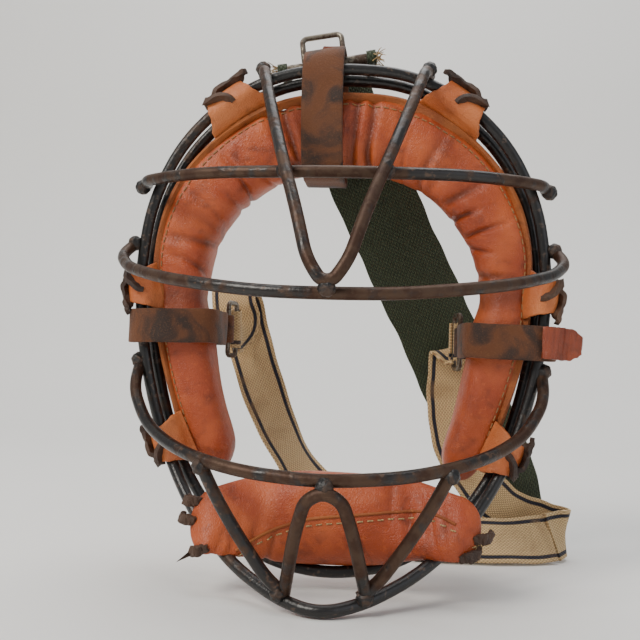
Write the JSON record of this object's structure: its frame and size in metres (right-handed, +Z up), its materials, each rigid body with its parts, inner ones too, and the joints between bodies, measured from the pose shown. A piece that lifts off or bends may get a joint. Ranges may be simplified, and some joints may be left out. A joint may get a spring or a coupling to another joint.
{
  "type": "baseball catcher's mask",
  "caption": "Vintage wire catcher's mask: welded cage, stuffed leather face and chin pads, leather tabs, suede straps and webbing head harness.",
  "frame": {"origin": "middle of the face opening, in the plane of the pads' backs where the wearer's face meets the mask", "axes": "+X to the right of somebody looking at the front of the cage, +Y back towards the wearer, +Z up the mask"},
  "size_m": [0.2315, 0.1806, 0.2837],
  "materials": {
    "cage_paint": "black paint worn to brown steel",
    "weld_metal": "rough weld beads under worn paint",
    "pad_leather": "smooth terracotta leather, creased",
    "welt_leather": "raw cut leather edge",
    "tab_leather": "light tan leather",
    "suede": "brown suede, rubbed dark",
    "oxblood_leather": "dark red-brown strap end",
    "dark_lace": "nearly black leather lace",
    "hair_filling": "packed hair and felt",
    "buckle_steel": "tarnished steel wire and tube",
    "elastic_web": "buff elastic webbing with navy edge stripes",
    "crown_web": "olive cotton webbing"
  },
  "bodies": {
    "root": {"front_ring": "cage_paint", "rear_ring": "cage_paint", "eye_bar": "cage_paint", "brow_bar": "cage_paint", "mouth_bar": "cage_paint", "sight_v_bar": "cage_paint", "chin_arch": "cage_paint", "left_chin_strut": "cage_paint", "right_chin_strut": "cage_paint", "weld_beads": "weld_metal", "main_pad_front_cover": "pad_leather", "main_pad_back_cover": "pad_leather", "main_pad_filling": "hair_filling", "main_pad_welt": "welt_leather", "chin_pad_upper_panel": "pad_leather", "chin_pad_lower_panel": "pad_leather", "chin_pad_filling": "hair_filling", "left_chin_ear": "pad_leather", "right_chin_ear": "pad_leather", "tab_studs": "dark_lace", "tab_thongs": "dark_lace", "top_strap": "suede", "left_strap": "suede", "right_strap": "suede", "right_strap_tongue": "oxblood_leather", "roller_rod": "buckle_steel", "buckle_fold": "suede", "buckle_tongue": "oxblood_leather", "left_loop_fold": "suede", "right_loop_fold": "suede", "left_elastic": "elastic_web", "right_elastic": "elastic_web", "crown_strap": "crown_web", "crown_strap_ears": "crown_web", "crown_strap_tail": "crown_web", "left_upper_tab": "tab_leather", "left_side_tab": "tab_leather", "left_lower_tab": "tab_leather", "right_upper_tab": "tab_leather", "right_side_tab": "tab_leather", "right_lower_tab": "tab_leather"},
    "roller": {"strap_roller": "buckle_steel"},
    "buckle": {"buckle_loop": "buckle_steel"},
    "left_loop": {"left_wire_loop": "buckle_steel", "left_elastic_fold": "elastic_web"},
    "right_loop": {"right_wire_loop": "buckle_steel", "right_elastic_fold": "elastic_web"}
  },
  "joints": [
    {"name": "roller_spin", "type": "hinge", "parent": "root", "child": "roller", "pos_m": [-0.01, -0.021, 0.1434], "axis": [0.9877, 0, 0.1564], "continuous": true},
    {"name": "buckle_swing", "type": "hinge", "parent": "root", "child": "buckle", "pos_m": [-0.013, 0.0097, 0.146], "axis": [0.9877, 0, 0.1564], "range_deg": [0, 60]},
    {"name": "left_loop_swing", "type": "hinge", "parent": "root", "child": "left_loop", "pos_m": [-0.061, 0.0065, 0.0105], "axis": [0, 0, 1], "range_deg": [-60, 15], "deforming": ["left_elastic"]},
    {"name": "right_loop_swing", "type": "hinge", "parent": "root", "child": "right_loop", "pos_m": [0.061, 0.0065, 0.007], "axis": [0, 0, 1], "range_deg": [-15, 60], "deforming": ["right_elastic"]}
  ]
}
